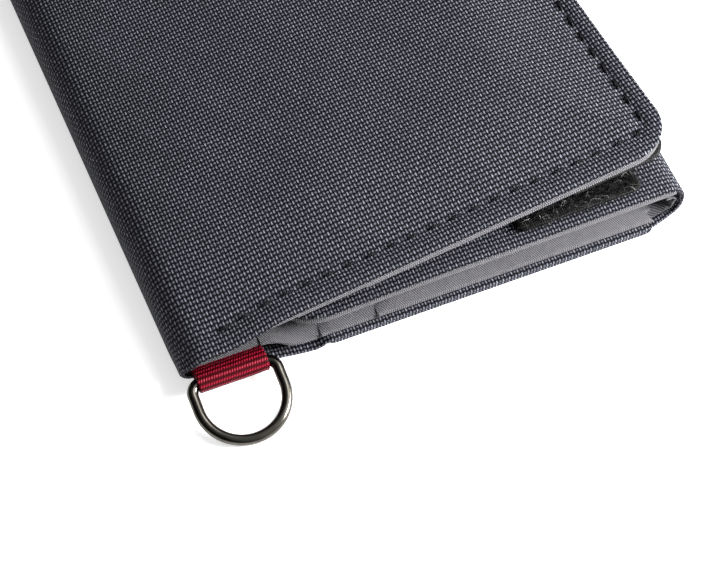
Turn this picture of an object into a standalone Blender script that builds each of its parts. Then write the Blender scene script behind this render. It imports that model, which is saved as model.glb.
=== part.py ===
"""Tri-fold fabric wallet with a D-ring tab, lying closed on its back panel.

Metres, +Z up. X runs across the closed wallet, with the flap's fold at -X and the
wing's fold at +X. Y runs along the folds. The origin is the centre of the wallet
on the flat underside of the back panel, and the D-ring end faces -Y.

Every fold is a narrow spine strip between two creases, so each half of the wallet
keeps its length when it opens. The strips, the flap and the wing are parented to
empties that sit on their creases. The flap's fold is a little off square, as a soft
wallet's is: its creases lean by SKEW, and the folded flap lies turned by twice that.
"""

import math

import bmesh
import bpy
from mathutils import Vector

MM = 0.001

# Driving dimensions, in millimetres
CLOSED_WIDTH = 95.0
PANEL_LENGTH = 125.0
SHELL = 0.8
LINING = 0.4
SHIELD = 0.5
PADDING = 0.6
WEBBING = 0.8
TAPE = 0.8
PILE = 1.2
GAP = 0.3

# Folds: the creases lie just inside the outer faces of the shell
SPINE_BULGE = 0.1
FOLD_X = CLOSED_WIDTH / 2 - SHELL - SPINE_BULGE
SKEW = 1.8
LEFT_CREASE_LOW = 0.9
LEFT_CREASE_HIGH = 10.4
RIGHT_CREASE_LOW = 2.1
RIGHT_CREASE_HIGH = 9.65
FLAP_TILT = 4.4
WING_TILT = 1.3

# Panels
CENTRE_HALF = PANEL_LENGTH / 2
WING_HALF = 61.8
SPINE_HALF = 61.3
LINING_HALF = 60.0
BACK_PANEL_LEFT = -21.5
BACK_PANEL_RIGHT = 42.0
BACK_PANEL_THICKNESS = 0.9
FLAP_REACH = 92.5
FLAP_LENGTH = 124.0
FLAP_OVERHANG = 0.6
FLAP_CORNER = 12.0
WING_REACH = 72.6
WING_CORNER = 9.0
SMALL_CORNER = 2.0

# Card slots: their mouths run along Y, one step apart, and face the flap's fold
CARD_POCKET_RIGHT = 42.5
CENTRE_MOUTHS = (-32.7, -22.2, -11.7)
FLAP_MOUTHS = (20.4, 33.2)
WING_POCKET = (-66.0, -5.0)

# Hook and loop closure
LOOP_TAPE = (-30.6, -6.9)
LOOP_HALF = 59.8
HOOK_TAPE = (73.0, 91.4)
HOOK_INSET = 4.6

# D-ring and its webbing tab
RING_WIRE = 2.0
RING_HALF_WIDTH = 7.7
RING_LENGTH = 12.5
RING_CORNER = 2.0
RING_BAR = (-38.9, -63.1, 3.2)
RING_PITCH = 10.0
TAB_WIDTH = 12.7
TAB_TAIL = 12.0
TAB_NECK = 3.2
TAB_UPPER_TAIL = 2.6

NAVY = (0.030, 0.033, 0.048)
GREY = (0.40, 0.39, 0.40)
BLACK = (0.010, 0.010, 0.011)
FILM = (0.55, 0.56, 0.58)
FOAM = (0.08, 0.08, 0.085)
RED = (0.42, 0.008, 0.028)
GUNMETAL = (0.115, 0.108, 0.098)


def clear_scene():
    for item in list(bpy.data.objects):
        bpy.data.objects.remove(item, do_unlink=True)


def material(name, colour, roughness, metallic=0.0):
    """One Principled material."""
    made = bpy.data.materials.new(name)
    made.use_nodes = True
    shader = made.node_tree.nodes["Principled BSDF"]
    shader.inputs["Base Color"].default_value = (*colour, 1.0)
    shader.inputs["Roughness"].default_value = roughness
    shader.inputs["Metallic"].default_value = metallic
    return made


def frame_empty(name, place, parent=None, yaw=0.0, pitch=0.0, tilt=0.0):
    """An empty on a joint axis, placed in its parent's frame."""
    empty = bpy.data.objects.new(name, None)
    bpy.context.collection.objects.link(empty)
    empty.location = Vector(place) * MM
    empty.rotation_euler = (math.radians(pitch), -math.radians(tilt), math.radians(yaw))
    empty.parent = parent
    return empty


def add_object(name, mesh, finish, parent):
    """Link a mesh as a named piece in its parent's frame, with its own material."""
    colour, roughness, metallic = finish
    piece = bpy.data.objects.new(name, mesh)
    bpy.context.collection.objects.link(piece)
    mesh.materials.append(material(name, colour, roughness, metallic))
    piece.parent = parent
    return piece


def loft_sections(name, sections):
    """Mesh of four-cornered sections joined in order, closed at both ends."""
    bm = bmesh.new()
    rings = []
    for corners in sections:
        rings.append([bm.verts.new(Vector(corner) * MM) for corner in corners])
    for near, far in zip(rings, rings[1:]):
        for index in range(4):
            after = (index + 1) % 4
            bm.faces.new((near[index], near[after], far[after], far[index]))
    bm.faces.new(rings[0])
    bm.faces.new(rings[-1])
    bmesh.ops.recalc_face_normals(bm, faces=bm.faces)
    mesh = bpy.data.meshes.new(name)
    bm.to_mesh(mesh)
    bm.free()
    return mesh


def corner_steps(radius, segments=7):
    """Distances along and in from a panel's end that follow a rounded corner."""
    if radius <= 0:
        return [(0.0, 0.0)]
    steps = []
    for index in range(segments + 1):
        angle = math.pi / 2 * index / segments
        steps.append((radius * (1 - math.cos(angle)), radius * (1 - math.sin(angle))))
    return steps


def height_at(profile, x):
    """Height of a polyline of (x, z) points."""
    for (x0, z0), (x1, z1) in zip(profile, profile[1:]):
        if x <= x1:
            return z0 + (z1 - z0) * max(x - x0, 0.0) / (x1 - x0)
    return profile[-1][1]


def panel(name, finish, parent, profile, thickness, span, left_corner=0.0, right_corner=0.0,
          lean=0.0):
    """A flat layer between the front and back of its span. Its underside follows the
    profile and its ends may be rounded. Its left edge leans by a slope, for a panel
    that ends at a crease that is off square."""
    left = profile[0][0]
    right = profile[-1][0]
    insets = {round(x, 4): 0.0 for x, z in profile}
    for along, inset in corner_steps(left_corner):
        insets[round(left + along, 4)] = inset
    for along, inset in corner_steps(right_corner):
        insets[round(right - along, 4)] = inset
    sections = []
    for x in sorted(insets):
        front = span[0] + insets[x]
        back = span[1] - insets[x]
        shift = lean * (back - front) * (right - x) / (right - left)
        z = height_at(profile, x)
        top = z + thickness
        sections.append(((x, front, z), (x + shift, back, z),
                         (x + shift, back, top), (x, front, top)))
    return add_object(name, loft_sections(name, sections), finish, parent)


def across(half):
    """Span of a layer centred on the wallet."""
    return (-half, half)


def level(left, right, z):
    """Profile of a layer that is flat in its own frame."""
    return [(left, z), (right, z)]


def spine_wall(name, finish, parent, inner, outward, low, high, thickness, bulge, span):
    """An upright strip that closes a fold, bowed a little outwards."""
    front, back = span
    steps = 8
    sections = []
    for index in range(steps + 1):
        part = index / steps
        z = low + (high - low) * part
        face = inner + outward * bulge * math.sin(math.pi * part)
        outer = face + outward * thickness
        sections.append(((face, front, z), (face, back, z), (outer, back, z), (outer, front, z)))
    return add_object(name, loft_sections(name, sections), finish, parent)


def stack(start, thicknesses):
    """Undersides of layers hung one below another from a height."""
    undersides = []
    z = start
    for thickness in thicknesses:
        z -= GAP + thickness
        undersides.append(z)
    return undersides


def build_centre():
    """The panel that the other two fold over, with its card slots."""
    navy = (NAVY, 0.85, 0.0)
    grey = (GREY, 0.75, 0.0)
    panel("centre_back_panel", navy, None, level(BACK_PANEL_LEFT, BACK_PANEL_RIGHT, 0.0),
          BACK_PANEL_THICKNESS, across(CENTRE_HALF), SMALL_CORNER, SMALL_CORNER)

    # The shell drops to the table beside the back panel's left edge
    raised = BACK_PANEL_THICKNESS + GAP
    end = FOLD_X - GAP
    ramp = BACK_PANEL_LEFT - 0.5
    shell_profile = [(-end, 0.0), (ramp - raised, 0.0), (ramp, raised), (end, raised)]
    lean = -math.tan(math.radians(SKEW))
    panel("centre_shell", navy, None, shell_profile, SHELL, across(CENTRE_HALF), lean=lean)

    film = raised + SHELL + GAP
    panel("centre_shield", (FILM, 0.35, 0.8), None, level(BACK_PANEL_LEFT, end - 2.0, film),
          SHIELD, across(LINING_HALF))

    inner = FOLD_X - GAP - LINING - GAP
    z = RING_BAR[2] + 0.1
    panel("centre_lining", grey, None, level(-inner, inner, z), LINING, across(LINING_HALF),
          lean=lean)
    for number, mouth in enumerate(CENTRE_MOUTHS, start=1):
        z += LINING + GAP
        panel(f"centre_card_slot_{number}", grey, None,
              level(mouth, CARD_POCKET_RIGHT, z), LINING, across(LINING_HALF))


def build_left_fold():
    """Spine strip of the flap's fold. Returns the flap's frame, on the upper crease."""
    navy = (NAVY, 0.85, 0.0)
    grey = (GREY, 0.75, 0.0)
    low = frame_empty("left_lower_crease", (-FOLD_X, -CENTRE_HALF, LEFT_CREASE_LOW), yaw=SKEW)
    rise = LEFT_CREASE_HIGH - LEFT_CREASE_LOW
    high = frame_empty("left_upper_crease", (0, 0, rise), low, tilt=FLAP_TILT)
    ends = CENTRE_HALF - SPINE_HALF
    span = (ends, PANEL_LENGTH - ends)
    spine_wall("left_spine_shell", navy, low, 0.0, -1, 0.1, rise - 0.2,
               SHELL, SPINE_BULGE, span)
    spine_wall("left_spine_lining", grey, low, GAP + LINING, -1, 3.1, rise - 1.8,
               LINING, 0.0, span)
    return frame_empty("flap_square", (0, -FLAP_OVERHANG, 0), high, yaw=SKEW)


def build_flap(crease):
    """Outer cover panel: shell, padding, lining, two card slots and the hook tape."""
    navy = (NAVY, 0.85, 0.0)
    grey = (GREY, 0.75, 0.0)
    lean = math.tan(math.radians(SKEW))
    panel("flap_shell", navy, crease, level(GAP, FLAP_REACH, 0.0), SHELL, (0.0, FLAP_LENGTH),
          0.0, FLAP_CORNER, lean)
    layers = stack(0.0, (PADDING, LINING, LINING, LINING, TAPE))
    edge = FLAP_REACH - GAP
    start = 1.0
    seam = 4.0
    panel("flap_padding", (FOAM, 0.9, 0.0), crease, level(start, edge - seam, layers[0]),
          PADDING, (seam, FLAP_LENGTH - seam), 0.0, FLAP_CORNER - seam, lean)
    span = (GAP, FLAP_LENGTH - GAP)
    panel("flap_lining", grey, crease, level(start, edge, layers[1]), LINING, span,
          0.0, FLAP_CORNER, lean)
    for number, mouth in enumerate(FLAP_MOUTHS, start=1):
        panel(f"flap_card_slot_{number}", grey, crease, level(mouth, edge, layers[1 + number]),
              LINING, span, 0.0, FLAP_CORNER)
    panel("hook_tape", (BLACK, 0.8, 0.0), crease, level(*HOOK_TAPE, layers[4]),
          TAPE, (HOOK_INSET, FLAP_LENGTH - HOOK_INSET))


def build_right_fold():
    """Spine strip of the wing's fold. Returns the frame of its upper crease."""
    navy = (NAVY, 0.85, 0.0)
    grey = (GREY, 0.75, 0.0)
    low = frame_empty("right_lower_crease", (FOLD_X, 0, RIGHT_CREASE_LOW))
    rise = RIGHT_CREASE_HIGH - RIGHT_CREASE_LOW
    high = frame_empty("right_upper_crease", (0, 0, rise), low, tilt=WING_TILT)
    spine_wall("right_spine_shell", navy, low, 0.0, 1, 0.1, rise - 0.2,
               SHELL, SPINE_BULGE, across(SPINE_HALF))
    spine_wall("right_spine_lining", grey, low, -GAP - LINING, 1, 1.9, rise - 1.4,
               LINING, 0.0, across(SPINE_HALF))
    return high


def build_wing(crease):
    """Inner panel with rounded corners, a card slot below and the loop tape on top."""
    navy = (NAVY, 0.85, 0.0)
    grey = (GREY, 0.75, 0.0)
    panel("wing_shell", navy, crease, level(-WING_REACH, -GAP, 0.0), SHELL,
          across(WING_HALF), WING_CORNER)
    layers = stack(0.0, (SHIELD, LINING, LINING))
    start = -1.0
    seam = 3.0
    panel("wing_shield", (FILM, 0.35, 0.8), crease, level(seam - WING_REACH, start, layers[0]),
          SHIELD, across(WING_HALF - seam), WING_CORNER - seam)
    panel("wing_lining", grey, crease, level(GAP - WING_REACH, start, layers[1]), LINING,
          across(WING_HALF - GAP), WING_CORNER)
    panel("wing_card_slot", grey, crease, level(*WING_POCKET, layers[2]), LINING,
          across(WING_HALF - seam))
    panel("loop_tape", (BLACK, 1.0, 0.0), crease, level(*LOOP_TAPE, SHELL + GAP),
          PILE, across(LOOP_HALF))


def tab_centreline():
    """Webbing path around the bar, as (y, z) from the bar's centre."""
    loop = RING_WIRE / 2 + GAP + WEBBING / 2
    upper = TAB_UPPER_TAIL - RING_BAR[2]
    points = [(TAB_TAIL, -loop), (TAB_NECK, -loop)]
    wrap = 230
    steps = 14
    for step in range(steps + 1):
        angle = math.radians(-90 - wrap * step / steps)
        points.append((loop * math.cos(angle), loop * math.sin(angle)))
    points += [(TAB_NECK - 0.95, 0.0), (TAB_NECK - 0.45, upper), (TAB_NECK, upper)]
    points.append((TAB_TAIL, upper))
    return points


def build_tab(swivel_place):
    """Red webbing tab: its two tails are sewn between the centre shell and lining."""
    parent = frame_empty("tab_frame", swivel_place)
    path = [Vector(point) for point in tab_centreline()]
    side = TAB_WIDTH / 2
    sections = []
    for index, point in enumerate(path):
        before = (point - path[max(index - 1, 0)]).normalized()
        after = (path[min(index + 1, len(path) - 1)] - point).normalized()
        along = (before + after).normalized()
        normal = Vector((-along.y, along.x))
        stretch = 1.0
        if before.length > 0 and after.length > 0:
            stretch = 1.0 / max(math.cos(before.angle(after) / 2), 0.5)
        outer = point + normal * WEBBING / 2 * stretch
        inner = point - normal * WEBBING / 2 * stretch
        sections.append(((-side, *outer), (side, *outer), (side, *inner), (-side, *inner)))
    add_object("d_ring_tab", loft_sections("d_ring_tab", sections), (RED, 0.55, 0.0), parent)


def arc(centre, radius, start, end, steps):
    """Points along a flat arc between two angles in degrees."""
    points = []
    for step in range(steps + 1):
        angle = math.radians(start + (end - start) * step / steps)
        points.append((centre[0] + radius * math.cos(angle), centre[1] + radius * math.sin(angle)))
    return points


def ring_path():
    """Closed centreline of the D: bar, two tight corners, straight arms, half circle."""
    bend = RING_HALF_WIDTH - RING_CORNER
    round_centre = (0.0, RING_HALF_WIDTH - RING_LENGTH)
    points = arc((bend, -RING_CORNER), RING_CORNER, 90, 0, 5)
    points += arc(round_centre, RING_HALF_WIDTH, 0, -180, 18)
    points += arc((-bend, -RING_CORNER), RING_CORNER, 180, 90, 5)
    return points


def build_ring(swivel_place):
    """Bent wire D-ring, hanging in the tab's loop by its straight bar."""
    parent = frame_empty("d_ring_swivel", swivel_place, pitch=RING_PITCH)
    points = ring_path()
    curve = bpy.data.curves.new("d_ring", "CURVE")
    curve.dimensions = "3D"
    curve.bevel_depth = RING_WIRE / 2 * MM
    curve.bevel_resolution = 3
    spline = curve.splines.new("POLY")
    spline.points.add(len(points) - 1)
    for spot, (x, y) in zip(spline.points, points):
        spot.co = (x * MM, y * MM, 0.0, 1.0)
    spline.use_cyclic_u = True
    spline.use_smooth = True
    return add_object("d_ring", curve, (GUNMETAL, 0.25, 1.0), parent)


def build():
    clear_scene()
    build_centre()
    build_flap(build_left_fold())
    build_wing(build_right_fold())
    build_tab(RING_BAR)
    build_ring(RING_BAR)


build()
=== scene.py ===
"""Looks for the closed tri-fold wallet: woven shell, grey twill lining, card slots,
hook and loop closure, red webbing tab and gunmetal D-ring, on a pale table.

Lengths in the sections are millimetres until a mesh is placed."""

import math

import bpy
import numpy as np
from mathutils import Matrix, Vector


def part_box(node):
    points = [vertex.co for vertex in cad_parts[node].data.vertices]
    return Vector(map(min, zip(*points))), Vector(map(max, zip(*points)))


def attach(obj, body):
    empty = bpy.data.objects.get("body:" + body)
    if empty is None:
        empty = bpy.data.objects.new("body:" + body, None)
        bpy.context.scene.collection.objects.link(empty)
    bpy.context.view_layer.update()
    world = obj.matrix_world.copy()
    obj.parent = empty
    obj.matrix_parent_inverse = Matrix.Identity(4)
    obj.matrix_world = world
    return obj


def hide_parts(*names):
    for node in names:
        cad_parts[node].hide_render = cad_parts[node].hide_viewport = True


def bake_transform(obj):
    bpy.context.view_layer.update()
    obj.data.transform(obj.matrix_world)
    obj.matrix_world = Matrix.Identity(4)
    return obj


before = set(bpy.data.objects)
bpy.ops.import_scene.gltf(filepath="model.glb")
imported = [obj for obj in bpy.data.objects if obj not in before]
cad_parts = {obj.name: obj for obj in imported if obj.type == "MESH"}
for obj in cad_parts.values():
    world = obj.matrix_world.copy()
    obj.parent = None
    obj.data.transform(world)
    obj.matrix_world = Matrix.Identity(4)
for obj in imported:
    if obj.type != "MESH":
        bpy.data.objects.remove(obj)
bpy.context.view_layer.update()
MM = 0.001

# ----------------------------------------
# Camera: looks down on the D-ring end of the wallet from the flap's fold side,
# with a long lens, close enough for the weave to show.
VIEW_TURN = math.radians(-22.0)
VIEW_RISE = math.radians(58.5)
VIEW_DISTANCE = 344.6 * MM
VIEW_TARGET = Vector((-13.0, -57.2, 8.0)) * MM


def add_object(name, data):
    """A scene object that holds the data."""
    made = bpy.data.objects.new(name, data)
    bpy.context.scene.collection.objects.link(made)
    return made


lens = bpy.data.cameras.new("camera")
lens.lens = 100.0
lens.sensor_width = 36.0
lens.clip_start = 0.01
camera = add_object("camera", lens)
backwards = Vector((math.sin(VIEW_TURN) * math.cos(VIEW_RISE),
                    -math.cos(VIEW_TURN) * math.cos(VIEW_RISE),
                    math.sin(VIEW_RISE)))
camera.location = VIEW_TARGET + backwards * VIEW_DISTANCE
camera.rotation_euler = backwards.to_track_quat("Z", "Y").to_euler()
bpy.context.scene.camera = camera
bpy.context.scene.view_settings.view_transform = "Standard"

# ----------------------------------------
# Back panel: a second layer of the heavy navy nylon, turned in all round, that
# makes the flat underside. It is sewn below the centre shell.
CORNER_STEPS = 14
CLOSEST_STATIONS = 0.035
WELD_DISTANCE = 0.000002
SMOOTH_BELOW = math.radians(70)
RIM_STEPS = 4


def deselect_all():
    bpy.ops.object.select_all(action="DESELECT")


def smooth_step(x):
    x = np.clip(x, 0.0, 1.0)
    return x * x * (3.0 - 2.0 * x)


def spaced(start, end, step):
    """Even stations from start to end, no further apart than a step."""
    return np.linspace(start, end, max(int(math.ceil(abs(end - start) / step)), 1) + 1)


def points_at(x, y, z):
    """Rows of x, y and z. Each may be one number for every row."""
    return np.stack(np.broadcast_arrays(x, y, z), axis=1)


def round_off(size, steps):
    """Distances in from an edge that draw a quarter round."""
    return [size * (1 - math.cos(math.pi / 2 * k / steps)) for k in range(steps + 1)]


def stations(start, end, step, thickness, corner=(0.0, 0.0), closed=(True, True)):
    """Stations across a panel, closer together at turned edges and rounded corners."""
    found = set(np.round(spaced(start, end, step), 4))
    for side, sign, radius, is_closed in ((start, 1, corner[0], closed[0]),
                                          (end, -1, corner[1], closed[1])):
        distances = round_off(thickness / 2, RIM_STEPS) if is_closed else []
        if radius > 0:
            distances += round_off(radius, CORNER_STEPS)[1:-1]
        found |= {round(side + sign * d, 4) for d in distances}
    ordered = sorted(found)
    kept = [ordered[0]]
    for value in ordered[1:]:
        if value - kept[-1] > CLOSEST_STATIONS or value == ordered[-1]:
            kept.append(value)
    return np.array(kept)


def corner_inset(distance, radius):
    """How far a rounded corner draws the panel's sides in, at a distance from its end."""
    inside = np.clip(radius - distance, 0.0, radius)
    return radius - np.sqrt(np.maximum(radius ** 2 - inside ** 2, 0.0))


def rim_distance(u, v, size, corner=(0.0, 0.0), closed=(True, True)):
    """Distance in from the outline of a panel with rounded corners."""
    u0, u1, v0, v1 = size
    beside = np.minimum(v - v0, v1 - v)
    inward = beside
    for from_end, radius, is_closed in ((u - u0, corner[0], closed[0]),
                                        (u1 - u, corner[1], closed[1])):
        if not is_closed:
            continue
        rounded = radius - np.hypot(radius - from_end, radius - beside)
        in_corner = (from_end < radius) & (beside < radius)
        inward = np.minimum(inward, np.where(in_corner, rounded,
                                             np.minimum(from_end, beside)))
    return np.maximum(inward, 0.0)


def round_the_rim(distance, radius):
    """Extra cloth that goes round a rim, so a weave keeps its size there."""
    turned = radius * np.arccos(np.clip(1 - distance / radius, 0.0, 1.0)) - distance
    return np.where(distance < radius, turned, radius * (math.pi / 2 - 1))


def cloth_panel(name, size, step, thickness, surface, corner=(0.0, 0.0),
                closed=(True, True), turn_cloth=1.0):
    """A cloth panel with turned edges. Its upper and lower sheets start as two grids
    and meet along the rim. surface(u, v, inward) gives the middle of the cloth and
    the way that its upper side faces, for points across and along the panel."""
    size = [round(x, 4) for x in size]
    u0, u1, v0, v1 = size
    across_at = stations(u0, u1, step, thickness, corner, closed)
    rows = stations(v0, v1, step, thickness)
    share = (rows - v0) / (v1 - v0)
    u = np.tile(across_at, len(rows))
    inset = np.tile(np.maximum(corner_inset(across_at - u0, corner[0]),
                               corner_inset(u1 - across_at, corner[1])), len(rows))
    v = v0 + inset + (v1 - v0 - 2 * inset) * np.repeat(share, len(across_at))
    inward = rim_distance(u, v, size, corner, closed)
    radius = thickness / 2
    half = radius * np.sqrt(np.maximum(1 - (1 - np.minimum(inward / radius, 1)) ** 2, 0))
    middle, facing = surface(u, v, inward)
    cloth_u = (u + round_the_rim(u - u0, radius) * closed[0]
               - round_the_rim(u1 - u, radius) * closed[1])
    cloth_v = v + round_the_rim(v - v0, radius) - round_the_rim(v1 - v, radius)
    sheets = []
    for side in (1, -1):
        deselect_all()
        bpy.ops.mesh.primitive_grid_add(x_subdivisions=len(across_at) - 1,
                                        y_subdivisions=len(rows) - 1, size=1)
        sheet = bpy.context.object
        mesh = sheet.data
        points = (middle + side * half[:, None] * facing) * MM
        mesh.vertices.foreach_set("co", points.ravel())
        vertex_of = np.zeros(len(mesh.loops), dtype=np.int32)
        mesh.loops.foreach_get("vertex_index", vertex_of)
        shown_v = cloth_v if side > 0 else 2 * v0 - cloth_v
        pairs = np.stack([turn_cloth * cloth_u, shown_v], axis=1)[vertex_of]
        mesh.uv_layers[0].name = "cloth"
        mesh.uv_layers["cloth"].data.foreach_set("uv", pairs.ravel())
        if (side < 0) != winds_downward(points, len(across_at), facing):
            mesh.flip_normals()
        sheets.append(sheet)
    deselect_all()
    for sheet in sheets:
        sheet.select_set(True)
    bpy.context.view_layer.objects.active = sheets[0]
    bpy.ops.object.join()
    piece = bpy.context.object
    piece.name = name
    piece.data.name = name
    bpy.ops.object.mode_set(mode="EDIT")
    bpy.ops.mesh.select_all(action="SELECT")
    bpy.ops.mesh.remove_doubles(threshold=WELD_DISTANCE)
    if not all(closed):
        bpy.ops.mesh.select_all(action="DESELECT")
        bpy.ops.mesh.select_non_manifold(extend=False)
        bpy.ops.mesh.edge_face_add()
    bpy.ops.object.mode_set(mode="OBJECT")
    bpy.ops.object.shade_smooth_by_angle(angle=SMOOTH_BELOW)
    return piece


def winds_downward(points, width, facing):
    """Whether a grid's own winding faces away from the cloth's upper side."""
    row = (len(points) // width // 2) * width + width // 2
    along = Vector(points[row + 1] - points[row])
    beyond = Vector(points[row + width] - points[row])
    return along.cross(beyond).dot(Vector(facing[row])) < 0


def feed(tree, socket, value):
    """Give an input a number, a colour or another node's output."""
    if isinstance(value, (int, float)):
        socket.default_value = value
    elif isinstance(value, tuple):
        socket.default_value = (*value, 1.0)
    else:
        tree.links.new(value, socket)


def calculator(tree):
    """Adds Math nodes to a tree: each call makes one, and returns its output."""
    def calculate(operation, *values):
        node = tree.nodes.new("ShaderNodeMath")
        node.operation = operation
        for socket, value in zip(node.inputs, values):
            feed(tree, socket, value)
        return node.outputs[0]
    return calculate


def start_group(name, numbers):
    """A shader node group with a vector input, numbers, and its inner ends."""
    group = bpy.data.node_groups.new(name, "ShaderNodeTree")
    group.interface.new_socket("Vector", in_out="INPUT", socket_type="NodeSocketVector")
    for label, value in numbers.items():
        socket = group.interface.new_socket(label, in_out="INPUT",
                                            socket_type="NodeSocketFloat")
        socket.default_value = value
    return group, group.nodes.new("NodeGroupInput"), group.nodes.new("NodeGroupOutput")


def put_out(group, ends, **values):
    """Give a group outputs that carry values."""
    for label, socket in values.items():
        group.interface.new_socket(label, in_out="OUTPUT", socket_type="NodeSocketFloat")
        group.links.new(socket, ends.inputs[label])


def axes_of(tree, vector):
    """The three numbers of a vector."""
    node = tree.nodes.new("ShaderNodeSeparateXYZ")
    tree.links.new(vector, node.inputs[0])
    return node.outputs


def noise_of(tree, vector, scale, detail=2.0, roughness=0.5):
    node = tree.nodes.new("ShaderNodeTexNoise")
    node.inputs["Scale"].default_value = scale
    node.inputs["Detail"].default_value = detail
    node.inputs["Roughness"].default_value = roughness
    tree.links.new(vector, node.inputs["Vector"])
    return node.outputs["Fac"]


def make_weave_group():
    """Plain weave of round yarns. Reads a cloth map in millimetres, and gives the
    height of the yarns, a painted highlight on each float's crown and how yarns vary."""
    group, ends_in, ends_out = start_group(
        "plain_weave", {"Warp pitch": 0.61, "Weft pitch": 0.87, "Slub": 0.12})
    do = calculator(group)
    vector = ends_in.outputs["Vector"]
    slub = noise_of(group, vector, 0.55, 3.0)
    shift = do("MULTIPLY", do("SUBTRACT", slub, 0.5), ends_in.outputs["Slub"])
    waves, sizes = [], []
    for axis, pitch, lean in (("X", "Warp pitch", 1.0), ("Y", "Weft pitch", -1.3)):
        place = do("MULTIPLY_ADD", shift, lean, axes_of(group, vector)[axis])
        turns = do("DIVIDE", place, ends_in.outputs[pitch])
        waves.append(do("SINE", do("MULTIPLY", turns, math.pi)))
        sizes.append(do("ABSOLUTE", waves[-1]))
    warp, weft = waves
    over = do("MULTIPLY", do("SIGN", warp), weft)
    under = do("MULTIPLY", do("SIGN", weft), warp)
    fat_warp, fat_weft = [do("POWER", size, 0.62) for size in sizes]
    warp_top = do("MULTIPLY_ADD", over, 0.42, do("MULTIPLY", fat_warp, 0.58))
    weft_top = do("MULTIPLY_ADD", under, -0.42, do("MULTIPLY", fat_weft, 0.52))
    # Painted highlight: a bright mask on the crown of each warp and weft float, used as
    # colour.
    warp_painted_highlight = do("MULTIPLY", do("POWER", sizes[0], 7.0), do("MAXIMUM", over, 0.0))
    weft_painted_highlight = do("MULTIPLY", do("POWER", sizes[1], 5.0),
                    do("MAXIMUM", do("MULTIPLY", under, -1.0), 0.0))
    crown = do("MULTIPLY_ADD", weft_painted_highlight, 0.45, warp_painted_highlight)
    strands = noise_of(group, vector, 1.9, 2.0, 0.8)
    put_out(group, ends_out, Height=do("SMOOTH_MAX", warp_top, weft_top, 0.06),
            Crown=do("MULTIPLY", crown, do("MULTIPLY_ADD", strands, 2.6, -0.40)),
            Variation=slub)
    return group


def cloth_map(tree):
    """The piece's own cloth map, in millimetres."""
    node = tree.nodes.new("ShaderNodeUVMap")
    node.uv_map = "cloth"
    return node.outputs["UV"]


def place_group(tree, group, vector, **numbers):
    node = tree.nodes.new("ShaderNodeGroup")
    node.node_tree = group
    tree.links.new(vector, node.inputs["Vector"])
    for label, value in numbers.items():
        node.inputs[label.replace("_", " ")].default_value = value
    return node.outputs


def colour_ramp(tree, factor, stops):
    """Colours at places from 0 to 1."""
    node = tree.nodes.new("ShaderNodeValToRGB")
    ramp = node.color_ramp
    while len(ramp.elements) < len(stops):
        ramp.elements.new(0.5)
    for element, (place, colour) in zip(ramp.elements, stops):
        element.position = place
        element.color = (*colour, 1.0)
    tree.links.new(factor, node.inputs["Fac"])
    return node.outputs["Color"]


def colour_sockets(sockets):
    return [s for s in sockets if s.type == "RGBA"]


def blend_colours(tree, factor, first, second, blend="MIX"):
    """Mix two colours, each a socket or three numbers, by a socket or a number."""
    node = tree.nodes.new("ShaderNodeMix")
    node.data_type = "RGBA"
    node.blend_type = blend
    for socket, value in zip((node.inputs[0], *colour_sockets(node.inputs)),
                             (factor, first, second)):
        feed(tree, socket, value)
    return colour_sockets(node.outputs)[0]


def object_place(tree):
    """The place of a shaded point on its own object."""
    return tree.nodes.new("ShaderNodeTexCoord").outputs["Object"]


def start_material(name, roughness=0.6, metallic=0.0, specular=0.5):
    """A material, its node tree and its main shader."""
    made = bpy.data.materials.new(name)
    made.use_nodes = True
    shader = made.node_tree.nodes["Principled BSDF"]
    shader.inputs["Roughness"].default_value = roughness
    shader.inputs["Metallic"].default_value = metallic
    shader.inputs["Specular IOR Level"].default_value = specular
    return made, made.node_tree, shader


def bump_up(tree, shader, height, distance, strength=1.0):
    """Feed a height into the shader's normal, in millimetres of relief."""
    node = tree.nodes.new("ShaderNodeBump")
    node.inputs["Strength"].default_value = strength
    node.inputs["Distance"].default_value = distance * MM
    tree.links.new(height, node.inputs["Height"])
    tree.links.new(node.outputs["Normal"], shader.inputs["Normal"])


def patterned_material(name, pattern, stops, relief=0.0, **finish):
    """A material whose colour and relief both follow one pattern(tree)."""
    made, tree, shader = start_material(name, **finish)
    factor = pattern(tree)
    feed(tree, shader.inputs["Base Color"], colour_ramp(tree, factor, stops))
    if relief:
        bump_up(tree, shader, factor, relief)
    return made


def mottle(tree, shader, colour, variation, dark):
    """Colour a cloth, darkened in soft patches."""
    patches = colour_ramp(tree, variation, [(0.30, dark), (0.70, (1.0, 1.0, 1.0))])
    feed(tree, shader.inputs["Base Color"],
         blend_colours(tree, 1.0, colour, patches, "MULTIPLY"))


def make_shell_nylon(weave):
    """Heavy navy nylon: dusty blue yarns, near-black in the gaps between them
    (painted shade), with painted silvery highlights on their crowns.
    """
    made, tree, shader = start_material("navy_nylon", roughness=0.5, specular=0.12)
    woven = place_group(tree, weave, cloth_map(tree))
    # Yarn colour follows yarn height: the low gaps get painted shade, near black.
    yarn = colour_ramp(tree, woven["Height"], [
        (0.32, (0.0002, 0.0003, 0.0008)),
        (0.60, (0.0020, 0.0023, 0.0050)),
        (0.86, (0.0120, 0.0126, 0.0196)),
        (1.00, (0.0185, 0.0192, 0.0285))])
    # Painted highlight: the crowns are blended towards a pale silver colour.
    bright = blend_colours(tree, woven["Crown"], yarn, (0.250, 0.252, 0.285))
    do = calculator(tree)
    shine = do("MULTIPLY_ADD", woven["Crown"], -0.50, 0.88)
    feed(tree, shader.inputs["Roughness"], do("MAXIMUM", shine, 0.36))
    mottle(tree, shader, bright, woven["Variation"], (0.80, 0.80, 0.82))
    bump_up(tree, shader, woven["Height"], 0.20)
    return made


weave = make_weave_group()
shell_nylon = make_shell_nylon(weave)


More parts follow.
